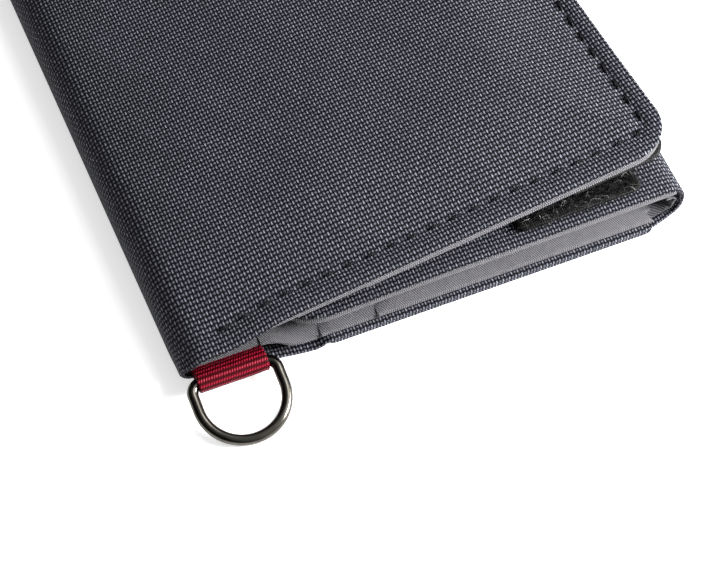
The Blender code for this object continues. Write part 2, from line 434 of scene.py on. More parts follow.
def finish_piece(piece, material, node=None, body=None):
    """Give a piece its finish, the CAD nodes it stands for and the body it rides on."""
    piece.data.materials.clear()
    piece.data.materials.append(material)
    if node:
        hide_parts(node)
    if body:
        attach(piece, body)


BACK_PANEL = (-21.5, 42.0, -63.0, 62.6)
BACK_PANEL_THICKNESS = 1.1


def lie_flat(height):
    """A surface at one height, facing up."""
    def surface(u, v, inward):
        return points_at(u, v, height), np.tile((0.0, 0.0, 1.0), (len(u), 1))
    return surface


back_panel = cloth_panel("back_panel_cloth", BACK_PANEL, 2.0, BACK_PANEL_THICKNESS,
                         lie_flat(BACK_PANEL_THICKNESS / 2), corner=(2.0, 2.0))
finish_piece(back_panel, shell_nylon, "centre_back_panel", "centre")

# ----------------------------------------
# Centre shell: the middle of the long navy cover. It drops to the table beside
# the back panel and runs up both folds, so it is cut in two under the back panel:
# each half bends over one crease.
FOLD_X = 46.6
FOLD_FRONT = -62.5
FOLD_SKEW = math.radians(1.8)
FOLD_OUT = 0.9
SHELL_THICKNESS = 0.8
SEAM_HEIGHT = 5.7
LOWER_LEFT_RADIUS = 3.0
LOWER_RIGHT_RADIUS = 4.4
SHELL_FRONT = -63.1
SHELL_BACK = 62.7


def bend_path(a, radius, turn):
    """Section through a folded sheet, from its panel (a above 0) round a bend and down
    its wall (a below 0). Measured from the sharp corner, as along and up."""
    corner = radius * math.tan(turn / 2)
    flat = a >= 0
    angle = np.clip(-a / radius, 0.0, turn)
    beyond = np.maximum(-a - radius * turn, 0.0)
    along = np.where(flat, corner + a, corner - radius * np.sin(angle)
                     - beyond * math.cos(turn))
    up = np.where(flat, 0.0, -radius + radius * np.cos(angle) - beyond * math.sin(turn))
    face_along = np.where(flat, 0.0, -np.sin(angle))
    face_up = np.where(flat, 1.0, np.cos(angle))
    return along, up, face_along, face_up


def left_crease_x(y):
    """The flap's fold leans a little off square."""
    return -FOLD_X - (y - FOLD_FRONT) * math.tan(FOLD_SKEW)


def wall_length(radius, turn, drop):
    """Path from a panel's end to a seam that lies a drop from the sharp corner."""
    corner = radius * math.tan(turn / 2)
    return radius * turn + drop - corner


RIGHT_ANGLE = math.pi / 2
STEP_X = -22.3
STEP_WIDTH = 0.7
STEP_RAISE = 1.15
DRAWN_BACK = 2.5
DRAWN_UP = 0.5
DRAWN_AT_SEAM = 0.4
RIGHT_TAPER = 0.020
RIGHT_TAPER_START = 39.0
lower_left_wall = wall_length(LOWER_LEFT_RADIUS, RIGHT_ANGLE, SEAM_HEIGHT)


def lower_left_surface(u, v, inward):
    """Centre shell, left half: up over the back panel's edge, down to the table and up
    the fold. Its front edge is drawn back under the tab."""
    along, up, face_along, face_up = bend_path(u, LOWER_LEFT_RADIUS, RIGHT_ANGLE)
    reach = -FOLD_OUT + along
    lean = (left_crease_x(v) + FOLD_X) * np.clip(1 - reach / (FOLD_X - 22.0), 0.0, 1.0)
    x = -FOLD_X + lean + reach
    raised = STEP_RAISE * smooth_step((x - STEP_X) / STEP_WIDTH + 0.5)
    inside = SHELL_THICKNESS / 2
    near_seam = smooth_step((u + lower_left_wall) / 2.0)
    drawn = (smooth_step(1 - (v - SHELL_FRONT) / 9.0) * smooth_step(1 - u / 24.0)
             * (DRAWN_AT_SEAM + (1 - DRAWN_AT_SEAM) * near_seam))
    z = -up + raised + DRAWN_UP * drawn
    middle = points_at(x - inside * face_along, v + DRAWN_BACK * drawn, z + inside * face_up)
    return middle, points_at(-face_along, 0.0, face_up)


def lower_right_surface(u, v, inward):
    """Centre shell, right half. u grows towards the right fold's seam."""
    along, up, face_along, face_up = bend_path(right_panel_end - u, LOWER_RIGHT_RADIUS,
                                               RIGHT_ANGLE)
    inside = SHELL_THICKNESS / 2
    x = FOLD_X + FOLD_OUT - along
    z = STEP_RAISE - up
    y = v * (1 - RIGHT_TAPER * smooth_step((x - RIGHT_TAPER_START) / 7.0))
    middle = points_at(x + inside * face_along, y, z + inside * face_up)
    return middle, points_at(face_along, 0.0, face_up)


lower_left_cover = cloth_panel(
    "centre_cover_left",
    (-lower_left_wall, FOLD_X + FOLD_OUT - LOWER_LEFT_RADIUS, SHELL_FRONT, SHELL_BACK),
    1.2, SHELL_THICKNESS, lower_left_surface, closed=(False, False))
finish_piece(lower_left_cover, shell_nylon, "centre_shell")
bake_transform(lower_left_cover)

lower_right_wall = wall_length(LOWER_RIGHT_RADIUS, RIGHT_ANGLE, SEAM_HEIGHT - STEP_RAISE)
right_panel_end = FOLD_X + FOLD_OUT - LOWER_RIGHT_RADIUS
lower_right_cover = cloth_panel(
    "centre_cover_right", (0.0, right_panel_end + lower_right_wall, SHELL_FRONT, SHELL_BACK),
    1.2, SHELL_THICKNESS, lower_right_surface, closed=(False, False))
finish_piece(lower_right_cover, shell_nylon)
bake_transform(lower_right_cover)

# ----------------------------------------
# Flap cover: the outer face. The navy nylon rolls softly over the left fold and
# crowns over thin padding, with a stitched ditch inside its free edges.
FLAP_TILT = math.radians(4.4)
FLAP_REACH = 92.5
FLAP_LENGTH = 124.0
FLAP_CORNER = 8.0
FLAP_OVERHANG = 0.6
FLAP_HEIGHT = 10.4
FLAP_RADIUS = 5.0
FLAP_CROWN = 2.8
DITCH_FRONT = 4.3
DITCH_SIDE = 3.5
DITCH_BEND = 3.2
DITCH_DEPTH = 0.34
DITCH_WIDTH = 0.95
CROWN_RISE = 13.0
EDGE_ROLL = 0.16
STITCH_PITCH = 4.0
FLAP_THICKNESS = 0.8
SAG_FORWARD = 1.2

crease_frame = (Matrix.Translation((-FOLD_X, FOLD_FRONT, FLAP_HEIGHT))
                @ Matrix.Rotation(FOLD_SKEW, 4, "Z") @ Matrix.Rotation(-FLAP_TILT, 4, "Y"))
flap_frame = (crease_frame @ Matrix.Translation((0.0, -FLAP_OVERHANG, 0.0))
              @ Matrix.Rotation(FOLD_SKEW, 4, "Z"))
flap_turn = RIGHT_ANGLE - FLAP_TILT
flap_corner_out = (FOLD_OUT - FLAP_THICKNESS * math.sin(FLAP_TILT)) / math.cos(FLAP_TILT)
flap_drop = (FLAP_HEIGHT + FLAP_THICKNESS * math.cos(FLAP_TILT)
             - flap_corner_out * math.sin(FLAP_TILT) - SEAM_HEIGHT)
flap_wall = wall_length(FLAP_RADIUS, flap_turn, flap_drop)
flap_plane_end = FLAP_REACH + flap_corner_out - FLAP_RADIUS * math.tan(flap_turn / 2)


def to_row(matrix, points):
    """Points in one frame, as points in the row frame."""
    turn = np.array(matrix.to_3x3())
    return points @ turn.T + np.array(matrix.translation)


def inside_ditch(u, v):
    """Distance inside the stitched line, which has rounded corners of its own."""
    from_side = flap_plane_end - DITCH_SIDE - u
    from_ends = np.minimum(v, FLAP_LENGTH - v) - DITCH_FRONT
    rounded = DITCH_BEND - np.hypot(DITCH_BEND - from_side, DITCH_BEND - from_ends)
    return np.where((from_side < DITCH_BEND) & (from_ends < DITCH_BEND), rounded,
                    np.minimum(from_side, from_ends))


def flap_relief(u, v, inward):
    """How far the cover stands above its plane: a crown behind a stitched ditch."""
    within = inside_ditch(u, v)
    from_wall = u + FLAP_RADIUS * flap_turn
    crown = FLAP_CROWN * (1 - np.exp(-np.maximum(from_wall, 0) / CROWN_RISE))
    crown *= smooth_step(from_wall / 5.0)
    pillow = smooth_step((within + 0.6) / 19.0) ** 0.75
    at_fold = smooth_step(1 - (u + 2.0) / 16.0)
    pillow = np.maximum(pillow, 0.35 * at_fold * smooth_step(inward / 8.0))
    edge_roll = EDGE_ROLL * np.sin(np.pi * np.clip(-within / 4.2, 0, 1))
    ditch_fade = smooth_step((u + 1.0) / 6.0)
    ditch = -DITCH_DEPTH * np.exp(-(within / DITCH_WIDTH) ** 2) * ditch_fade
    ripple = (0.10 * np.sin(u * 0.23 + 1.3 * np.sin(v * 0.11))
              + 0.08 * np.sin(v * 0.19 + 0.9 * np.sin(u * 0.13 + 2.0))
              + 0.05 * np.sin(u * 0.51 + v * 0.37 + 0.7))
    lumps = 0.09 * np.sin((u + v) * 2 * np.pi / STITCH_PITCH) * np.exp(
        -(within / 2.4) ** 2) * ditch_fade
    free = smooth_step(from_wall / 8.0)
    return (crown * pillow + (edge_roll + ripple * smooth_step(inward / 12.0)) * free
            + ditch + lumps)


def flap_spread(x, v):
    """The soft flap is wider towards its front corner, and starts at a fold that
    leans away from square."""
    wider = 1.7 * np.exp(-v / 32.0) * (np.maximum(x, 0) / FLAP_REACH) ** 2
    return wider + math.tan(FOLD_SKEW) * v * np.clip(1 - x / FLAP_REACH, 0, 1)


def flap_sag(u, v):
    """The flap's front corner sags forward over the tab, beside the fold."""
    return (smooth_step((u + flap_wall) / 5.0) * smooth_step(1 - (u - 1.0) / 15.0)
            * smooth_step(1 - v / 20.0))


def flap_surface(u, v, inward):
    """The cover goes up the fold's wall, round the fold and over the padding."""
    along, up, face_along, face_up = bend_path(u, FLAP_RADIUS, flap_turn)
    lift = flap_relief(u, v, inward)
    inside = FLAP_THICKNESS / 2 - lift
    x = along - flap_corner_out - inside * face_along
    z = FLAP_THICKNESS + up - inside * face_up
    spine_y = np.interp(v, (0.0, FLAP_LENGTH), (0.4, FLAP_LENGTH + 0.2))
    beside_fold = points_at(x, spine_y, z)
    c, s = math.cos(FOLD_SKEW), math.sin(FOLD_SKEW)
    spread = x + flap_spread(x, v)
    on_flap = points_at(c * spread - s * v, s * spread + c * v - FLAP_OVERHANG, z)
    share = smooth_step((u + 2.0) / 14.0)[:, None]
    middle = beside_fold * (1 - share) + on_flap * share
    middle = middle - flap_sag(u, v)[:, None] * np.array((0.0, SAG_FORWARD, 1.0))
    facing = points_at(face_along, 0.0, face_up)
    return to_row(crease_frame, middle), facing @ np.array(crease_frame.to_3x3()).T


flap_cover = cloth_panel("flap_cover", (-flap_wall, flap_plane_end, 0.0, FLAP_LENGTH),
                         0.9, FLAP_THICKNESS, flap_surface,
                         corner=(0.0, FLAP_CORNER), closed=(False, True))
finish_piece(flap_cover, shell_nylon, "flap_shell")
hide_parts("left_spine_shell")
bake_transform(flap_cover)

# ----------------------------------------
# Right fold and wing cover: the navy nylon turns round the fold and runs on as
# the inner wing, which has rounded corners at its free end.
WING_TILT = math.radians(1.3)
WING_REACH = 75.4
WING_HALF = 61.8
WING_CORNER = 9.0
WING_HEIGHT = 9.65
WING_RADIUS = 4.0
WING_DROOP = 0.0018
WING_DROOP_START = 50

wing_frame = (Matrix.Translation((FOLD_X, 0.0, WING_HEIGHT))
              @ Matrix.Rotation(-WING_TILT, 4, "Y") @ Matrix.Diagonal((-1, 1, 1, 1)))
wing_turn = RIGHT_ANGLE + WING_TILT
wing_corner_out = (FOLD_OUT + SHELL_THICKNESS * math.sin(WING_TILT)) / math.cos(WING_TILT)
wing_drop = (WING_HEIGHT + SHELL_THICKNESS * math.cos(WING_TILT)
             + wing_corner_out * math.sin(WING_TILT) - SEAM_HEIGHT)
wing_wall = wall_length(WING_RADIUS, wing_turn, wing_drop)
wing_plane_end = WING_REACH + wing_corner_out - WING_RADIUS * math.tan(wing_turn / 2)


def wing_droop(x):
    """How far the wing's free end hangs below its plane."""
    return WING_DROOP * np.maximum(x - WING_DROOP_START, 0) ** 2


def wing_surface(u, v, inward):
    """The cover goes up the fold's wall, round the fold and over the wing."""
    along, up, face_along, face_up = bend_path(u, WING_RADIUS, wing_turn)
    x = along - wing_corner_out
    edge = 0.16 * np.exp(-((inward - 4.5) / 0.8) ** 2) * smooth_step(u / 3.0)
    waves = 0.10 * np.sin(x * 0.21 + 0.8 * np.sin(v * 0.13)) * smooth_step(u / 6.0)
    inside = SHELL_THICKNESS / 2 + edge + wing_droop(x) - waves
    z = SHELL_THICKNESS + up - inside * face_up
    facing = points_at(face_along, 0.0, face_up)
    return (to_row(wing_frame, points_at(x - inside * face_along, v, z)),
            facing @ np.array(wing_frame.to_3x3()).T)


wing_cover = cloth_panel("wing_cover", (-wing_wall, wing_plane_end, -WING_HALF, WING_HALF),
                         1.2, SHELL_THICKNESS, wing_surface,
                         corner=(0.0, WING_CORNER), closed=(False, True))
finish_piece(wing_cover, shell_nylon, "wing_shell")
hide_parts("right_spine_shell")
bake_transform(wing_cover)

# ----------------------------------------
# Grey lining: a fine twill that backs every panel. Its turned edge shows as a
# pale band under the navy edge, all round.


def make_twill_group():
    """Fine twill: thin diagonal ribs, from a cloth map in millimetres."""
    group, ends_in, ends_out = start_group("fine_twill", {"Pitch": 0.38, "Lean": 0.5})
    do = calculator(group)
    vector = ends_in.outputs["Vector"]
    place = axes_of(group, vector)
    uneven = noise_of(group, vector, 0.9, 2.0)
    drift = do("MULTIPLY_ADD", uneven, 0.22, place["X"])
    slope = do("MULTIPLY_ADD", place["Y"], ends_in.outputs["Lean"], drift)
    turns = do("DIVIDE", slope, ends_in.outputs["Pitch"])
    rib = do("MULTIPLY_ADD", do("SINE", do("MULTIPLY", turns, 2 * math.pi)), 0.5, 0.5)
    put_out(group, ends_out, Rib=rib, Variation=uneven)
    return group


def make_lining_twill():
    """Warm light grey lining cloth."""
    made, tree, shader = start_material("grey_twill", roughness=0.6, specular=0.12)
    ribs = place_group(tree, make_twill_group(), cloth_map(tree))
    lines = colour_ramp(tree, ribs["Rib"], [
        (0.10, (0.038, 0.037, 0.040)), (0.80, (0.150, 0.146, 0.156))])
    mottle(tree, shader, lines, ribs["Variation"], (0.86, 0.86, 0.87))
    bump_up(tree, shader, ribs["Rib"], 0.05)
    return made


lining_twill = make_lining_twill()


def lining_piece(node, body, name, *panel, **shape):
    """A cloth panel of the lining twill that stands for a CAD node."""
    piece = cloth_panel(name, *panel, **shape)
    finish_piece(piece, lining_twill, node, body)
    return piece


def layer_surface(matrix, height, spread=None, slide=None):
    """A layer in a panel's frame, at a height that may change over it."""
    turned = np.array(matrix.to_3x3())
    upward = turned @ np.array((0.0, 0.0, 1.0))

    def surface(u, v, inward):
        x = u if spread is None else u + spread(u, v)
        y = v if slide is None else v + slide(u, v)
        middle = to_row(matrix, points_at(x, y, height(u, v, inward)))
        return middle, np.tile(upward, (len(u), 1))
    return surface


def settle(at_rim, inside, reach=7.0):
    """Height that changes from the rim to the inside of a panel."""
    def height(u, v, inward):
        return at_rim + (inside - at_rim) * smooth_step(inward / reach)
    return height


row_frame = Matrix.Identity(4)
LINING_RIM = (-62.0, 61.6)


def centre_rim(u):
    """Height of the lining's front edge: over the tab, then down to the shell."""
    return 3.35 - 1.05 * smooth_step((u + 31.5) / 7.0)


def centre_height(layers_below, inside, thickness):
    """Centre layers meet at the rim and lie apart inside."""
    def height(u, v, inward):
        at_rim = centre_rim(u) + layers_below
        rise = smooth_step(inward / 8.0)
        sag = 0.12 * np.sin(u * 0.17 + layers_below * 9) * rise
        return at_rim + (inside + thickness / 2 - at_rim) * rise + sag
    return height


def centre_spread(u, v):
    """Follows the leaning fold at the left."""
    return (left_crease_x(v) + FOLD_X) * np.clip((20.0 - u) / 65.0, 0.0, 1.0)


def behind_tab(u, v):
    """The front edge is drawn back where the tab comes out."""
    return 1.7 * smooth_step(1 - (u + 31.0) / 4.0) * smooth_step(1 - (v + 62.0) / 12.0)


centre_lining = lining_piece(
    "centre_lining", "centre", "centre_lining_cloth", (-45.4, 41.6, *LINING_RIM), 2.0, 0.5,
    layer_surface(row_frame, centre_height(0.0, 3.3, 0.5), centre_spread, behind_tab))

# ----------------------------------------
# Centre card slots: three stepped layers of the same twill. Each mouth is a
# turned hem, and their ends are caught in the front and back edges.
CENTRE_MOUTHS = (-32.7, -22.2, -11.7)
CARD_POCKET_RIGHT = 41.0


def hemmed(height, mouth, lift):
    """Adds a turned hem beside a pocket's mouth."""
    def hemmed_height(u, v, inward):
        from_mouth = u - mouth
        hem = smooth_step(1 - (from_mouth - 5.0) / 0.8)
        return height(u, v, inward) + lift * hem * smooth_step(inward / 1.5)
    return hemmed_height


for number, mouth in enumerate(CENTRE_MOUTHS, start=1):
    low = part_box(f"centre_card_slot_{number}")[0]
    pocket = lining_piece(
        f"centre_card_slot_{number}", "centre", f"centre_card_pocket_{number}",
        (mouth, CARD_POCKET_RIGHT, *LINING_RIM), 2.0, 0.36,
        layer_surface(row_frame, hemmed(
            centre_height(0.30 + 0.30 * (number - 1), low.z / MM, 0.36), mouth, 0.12),
            None, behind_tab))

# ----------------------------------------
# Flap padding: thin foam that fills the crown under the navy cover.


def foam_cells(tree):
    """Fine open cells."""
    node = tree.nodes.new("ShaderNodeTexVoronoi")
    node.inputs["Scale"].default_value = 1600.0
    tree.links.new(object_place(tree), node.inputs["Vector"])
    return node.outputs["Distance"]


dark_foam = patterned_material(
    "dark_foam", foam_cells, [(0.0, (0.015, 0.015, 0.016)), (0.6, (0.070, 0.070, 0.074))],
    relief=0.15, roughness=0.95, specular=0.1)


def padding_height(u, v, inward):
    """Half of the cover's crown, so the foam stays between cover and lining."""
    crown = FLAP_CROWN * smooth_step((inward - 1.0) / 17.0) * (
        1 - np.exp(-(u + 5.0) / CROWN_RISE))
    return -0.45 + 0.5 * crown


flap_foam = cloth_panel(
    "flap_foam", (2.0, FLAP_REACH - 6.6, 7.4, FLAP_LENGTH - 7.4), 2.5, 0.8,
    layer_surface(flap_frame, padding_height, flap_spread), corner=(0.0, 6.0))
finish_piece(flap_foam, dark_foam, "flap_padding", "flap")

# ----------------------------------------
# Flap lining and its two card slots: twill layers whose edges meet under the
# cover's edge, so they show together as one pale turned band.
FLAP_MOUTHS = (20.4, 33.2)
FLAP_LINING_BEND = 3.9
FLAP_LINING_BEND_START = 4.1
flap_back = FLAP_LENGTH - 0.35


def tucked(u, v):
    """Near the fold the lining's front edge sits back behind the cover's edge."""
    return 1.6 * smooth_step(1 - (u - 4.0) / 12.0) * smooth_step(1 - v / 10.0)


def into_fold(height):
    """Beside the fold a layer turns down with the cover and sags with its corner."""
    def lowered(u, v, inward):
        into_bend = np.maximum(FLAP_LINING_BEND_START - u, 0)
        turned_down = corner_inset(FLAP_LINING_BEND - into_bend, FLAP_LINING_BEND)
        return height(u, v, inward) - turned_down - 0.9 * flap_sag(u, v)
    return lowered


flap_lining = lining_piece(
    "flap_lining", "flap", "flap_lining_cloth",
    (1.6, FLAP_REACH - 0.3, 0.05, flap_back), 2.0, 1.05,
    layer_surface(flap_frame, into_fold(settle(-0.42, -1.35)), flap_spread, tucked),
    corner=(0.0, FLAP_CORNER - 0.3))

for number, mouth in enumerate(FLAP_MOUTHS, start=1):
    rim = -1.02 - 0.38 * (number - 1)
    inside = -1.4 - 0.7 * number
    pocket = lining_piece(
        f"flap_card_slot_{number}", "flap", f"flap_card_pocket_{number}",
        (mouth, FLAP_REACH - 0.5, 0.12, flap_back), 2.0, 0.46,
        layer_surface(flap_frame, hemmed(settle(rim, inside), mouth, -0.12), flap_spread),
        corner=(0.0, FLAP_CORNER - 0.5))

# ----------------------------------------
# Wing lining and its slot: the pale turned edge below the wing's navy edge wraps
# round the wing's rounded end.


def drooping(height):
    """Lets a layer hang with the wing's free end."""
    return lambda u, v, inward: height(u, v, inward) - wing_droop(u)


wing_lining = lining_piece(
    "wing_lining", "wing", "wing_lining_cloth",
    (1.2, WING_REACH + 0.2, -WING_HALF - 0.1, WING_HALF - 0.2), 1.6, 1.35,
    layer_surface(wing_frame, drooping(settle(-0.72, -1.2))), corner=(0.0, WING_CORNER))

wing_pocket = lining_piece(
    "wing_card_slot", "wing", "wing_card_pocket",
    (5.0, 66.0, -WING_HALF + 2.6, WING_HALF - 2.6), 2.0, 0.42,
    layer_surface(wing_frame, drooping(settle(-2.1, -2.05))))

# ----------------------------------------
# Fold linings: the twill that closes the inside of each fold. At the right it
# is crumpled, as the fold holds more lining than it needs.
fold_frame = (Matrix.Translation((-FOLD_X, FOLD_FRONT, 0.0))
              @ Matrix.Rotation(FOLD_SKEW, 4, "Z"))


def wall_surface(matrix, place):
    """An upright layer. u runs up the wall, place(u, v) gives its distance out."""
    outward = np.array(matrix.to_3x3()) @ np.array((1.0, 0.0, 0.0))

    def surface(u, v, inward):
        out, up = place(u, v)
        return to_row(matrix, points_at(out, v, up)), np.tile(outward, (len(u), 1))
    return surface


def inside_left_fold(u, v):
    """Follows the inner face of the two bends and the wall between them."""
    inner, lower = 3.85, 1.85
    upper_out = 4.1 - np.sqrt(np.maximum(inner ** 2 - np.maximum(u - 6.2, 0) ** 2, 0))
    lower_out = 2.1 - np.sqrt(np.maximum(lower ** 2 - np.maximum(3.0 - u, 0) ** 2, 0))
    sag = smooth_step(1 - v / 20.0) * smooth_step((u - 5.7) / 4.0)
    return np.maximum(upper_out, lower_out), u - 1.1 * sag


lining_piece("left_spine_lining", "left_spine", "left_fold_lining",
             (1.5, 9.3, 2.6, 123.4), 0.6, 0.4, wall_surface(fold_frame, inside_left_fold))

CRUMPLE = [(-5.6, 8.1), (-3.2, 8.2), (-1.2, 8.35), (-2.0, 7.7), (-2.9, 7.0), (-1.6, 6.6),
           (-0.5, 6.0), (-0.8, 4.9), (-1.5, 3.9), (-3.0, 3.2), (-5.4, 2.75)]


def crumpled(u, v):
    """A zigzag up the inside of the fold that loosens and shifts along it."""
    steps = np.arange(len(CRUMPLE))
    across = np.interp(u, steps, [p[0] for p in CRUMPLE])
    up = np.interp(u, steps, [p[1] for p in CRUMPLE])
    shift = 0.45 * np.sin(v * 0.31 + u * 1.7) + 0.25 * np.sin(v * 0.83 + u * 0.6)
    return across + shift * 0.7, up + 0.18 * np.sin(v * 0.47 + u * 2.1)


right_fold_frame = Matrix.Translation((FOLD_X, 0.0, 0.0))
right_fold_lining = lining_piece(
    "right_spine_lining", "right_spine", "right_fold_lining",
    (0.0, len(CRUMPLE) - 1.0, -61.4, 61.0), 0.25, 0.3,
    wall_surface(right_fold_frame, crumpled), turn_cloth=1.65)

# ----------------------------------------
# Signal-blocking film: thin metallised sheets between shell and lining. They are
# hidden in the closed layers.
film = patterned_material(
    "metallised_film", lambda tree: noise_of(tree, object_place(tree), 900.0, 4.0, 0.7),
    [(0.3, (0.40, 0.41, 0.43)), (0.7, (0.66, 0.67, 0.69))],
    relief=0.2, roughness=0.35, metallic=0.85)
for node in ("centre_shield", "wing_shield"):
    finish_piece(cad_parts[node], film)

# ----------------------------------------
# D-ring tab: red grosgrain webbing, folded round the ring's bar and caught between
# the shell and the lining. Its ribs run along the bar.
RING_BAR = Vector((-38.9, -63.1, 3.2))
RING_WIRE = 2.0
TAB_WIDTH = 12.7
TAB_TAIL = 11.0
WEBBING = 0.66
RIB_PITCH = 0.86
RIB_RELIEF = 0.05
RIB_BOW = 0.35
TAB_LOOK_AROUND = 0.12


def tab_path():
    """Middle of the webbing round the bar, as (y, z) from the bar."""
    loop = RING_WIRE / 2 + 0.15 + WEBBING / 2
    line = [(TAB_TAIL, -loop), (3.2, -loop)]
    line += [(loop * math.cos(a), loop * math.sin(a))
             for a in np.radians(np.linspace(-90, -288, 30))]
    line += [(1.5, 1.05), (2.4, 0.40), (3.2, -0.25), (4.2, -0.6), (TAB_TAIL, -0.6)]
    return np.array(line)


tab_line = tab_path()
tab_steps = np.hypot(*np.diff(tab_line, axis=0).T)
tab_at = np.concatenate([[0], np.cumsum(tab_steps)])
tab_length = tab_at[-1]


def along_tab(u):
    """Middle of the webbing at a distance along it."""
    return np.array([np.interp(u, tab_at, tab_line[:, axis]) for axis in (0, 1)])


def tab_surface(u, v, inward):
    """u runs along the folded webbing and v across its width."""
    y, z = along_tab(u)
    turn_y, turn_z = along_tab(u + TAB_LOOK_AROUND) - along_tab(u - TAB_LOOK_AROUND)
    size = np.maximum(np.hypot(turn_y, turn_z), 1e-6)
    face_y, face_z = turn_z / size, -turn_y / size
    bow = RIB_BOW * np.cos(np.clip(v / TAB_WIDTH, -0.5, 0.5) * np.pi)
    rib = RIB_RELIEF * np.abs(np.sin(np.pi * (u + bow) / RIB_PITCH)) ** 0.7
    middle = points_at(RING_BAR.x + v, RING_BAR.y + y + face_y * rib,
                       RING_BAR.z + z + face_z * rib)
    return middle, points_at(0.0, face_y, face_z)


def make_grosgrain():
    """Crimson ribbed webbing, darker in the grooves between ribs (painted shade):
    each rib carries a row of small painted highlights on its yarns.
    """
    made, tree, shader = start_material("red_grosgrain", roughness=0.5, specular=0.08)
    do = calculator(tree)
    place = axes_of(tree, cloth_map(tree))
    rib = do("ABSOLUTE", do("SINE", do("MULTIPLY", place["X"], math.pi / RIB_PITCH)))
    lean = do("MULTIPLY_ADD", place["X"], 0.35, place["Y"])
    yarn = do("MULTIPLY_ADD", do("SINE", do("MULTIPLY", lean, 2 * math.pi / 0.46)),
              0.5, 0.5)
    # Painted highlight: small bright dots along the top of each rib.
    painted_glint = do("MULTIPLY", do("POWER", rib, 22.0), do("POWER", yarn, 1.3))
    # Painted shade: the colour darkens into the grooves between ribs.
    base = colour_ramp(tree, rib, [
        (0.05, (0.012, 0.0002, 0.001)), (0.55, (0.066, 0.0006, 0.0045)),
        (1.0, (0.125, 0.0012, 0.0085))])
    feed(tree, shader.inputs["Base Color"],
         blend_colours(tree, painted_glint, base, (0.40, 0.018, 0.040)))
    bump_up(tree, shader, do("MULTIPLY", rib, yarn), 0.08)
    return made


tab_cloth = cloth_panel("tab_webbing", (0.0, tab_length, -TAB_WIDTH / 2, TAB_WIDTH / 2),
                        0.16, WEBBING, tab_surface)
finish_piece(tab_cloth, make_grosgrain(), "d_ring_tab", "centre")

# ----------------------------------------
# D-ring: one length of 2 mm wire, bent into a D and butt-joined inside the tab,
# with a dark gunmetal plating.
RING_HALF_WIDTH = 7.7
RING_LENGTH = 12.5
RING_BEND = 2.0
RING_PITCH = math.radians(10.0)


def ring_line():
    """Middle of the wire, in the ring's own plane."""
    bend = RING_HALF_WIDTH - RING_BEND
    line = []
    for centre, radius, start, end, steps in (
            ((bend, -RING_BEND), RING_BEND, 90, 0, 10),
            ((0.0, RING_HALF_WIDTH - RING_LENGTH), RING_HALF_WIDTH, 0, -180, 48),
            ((-bend, -RING_BEND), RING_BEND, 180, 90, 10)):
        for angle in np.radians(np.linspace(start, end, steps + 1)):
            line.append((centre[0] + radius * math.cos(angle),
                         centre[1] + radius * math.sin(angle)))
    line += [(x, 0.0) for x in (-4.0, -2.0, 0.0, 2.0, 4.0)]
    return line


def make_gunmetal():
    """Dark plated steel with a faintly uneven roughness and soft wear."""
    made, tree, shader = start_material("gunmetal", roughness=0.24, metallic=1.0)
    place = object_place(tree)
    cloud = noise_of(tree, place, 420.0, 3.0)
    feed(tree, shader.inputs["Base Color"], colour_ramp(tree, cloud, [
        (0.3, (0.055, 0.051, 0.044)), (0.7, (0.092, 0.086, 0.075))]))
    fine = noise_of(tree, place, 2400.0, 2.0)
    feed(tree, shader.inputs["Roughness"],
         calculator(tree)("MULTIPLY_ADD", fine, 0.06, 0.17))
    return made


deselect_all()
ring_curve = bpy.data.curves.new("ring_wire", "CURVE")
ring_curve.dimensions = "3D"
ring_curve.bevel_depth = RING_WIRE / 2 * MM
ring_curve.bevel_resolution = 7
ring_points = ring_line()
ring_spline = ring_curve.splines.new("POLY")
ring_spline.points.add(len(ring_points) - 1)
for spot, (x, y) in zip(ring_spline.points, ring_points):
    placed = RING_BAR + Vector((x, y * math.cos(RING_PITCH), y * math.sin(RING_PITCH)))
    spot.co = (*(placed * MM), 1.0)
ring_spline.use_cyclic_u = True
ring = add_object("ring_wire", ring_curve)
ring.select_set(True)
bpy.context.view_layer.objects.active = ring
bpy.ops.object.convert(target="MESH")
ring = bpy.context.object
bpy.ops.object.shade_smooth()
finish_piece(ring, make_gunmetal(), "d_ring", "ring")

# ----------------------------------------
# Hook tape: a stiff woven black strip under the flap's free edge, with rows of
# small nylon hooks on its lower face.
HOOK_TAPE = (72.0, 91.0)
HOOK_PITCH = 1.5
HOOK_MARGIN = 9.0
HOOK_FACE = -4.0


def make_tape():
    """Black woven tape, darker in the gaps between yarns (painted shade), with
    small painted highlights dotted on the yarn crowns.
    """
    made, tree, shader = start_material("black_tape", roughness=0.6, specular=0.12)
    woven = place_group(tree, weave, cloth_map(tree), Warp_pitch=0.42, Weft_pitch=0.55,
                        Slub=0.05)
    # Painted shade: the low gaps between yarns are darkest.
    base = colour_ramp(tree, woven["Height"], [
        (0.3, (0.0008, 0.0008, 0.0008)), (0.9, (0.0060, 0.0060, 0.0058))])
    # Painted highlight: dots on the yarn crowns blend towards grey.
    feed(tree, shader.inputs["Base Color"],
         blend_colours(tree, woven["Crown"], base, (0.032, 0.032, 0.031)))
    bump_up(tree, shader, woven["Height"], 0.10)
    return made


def own_tone(tree):
    """The tone of the copy that a shaded point belongs to."""
    node = tree.nodes.new("ShaderNodeAttribute")
    node.attribute_name = "tone"
    return node.outputs["Fac"]


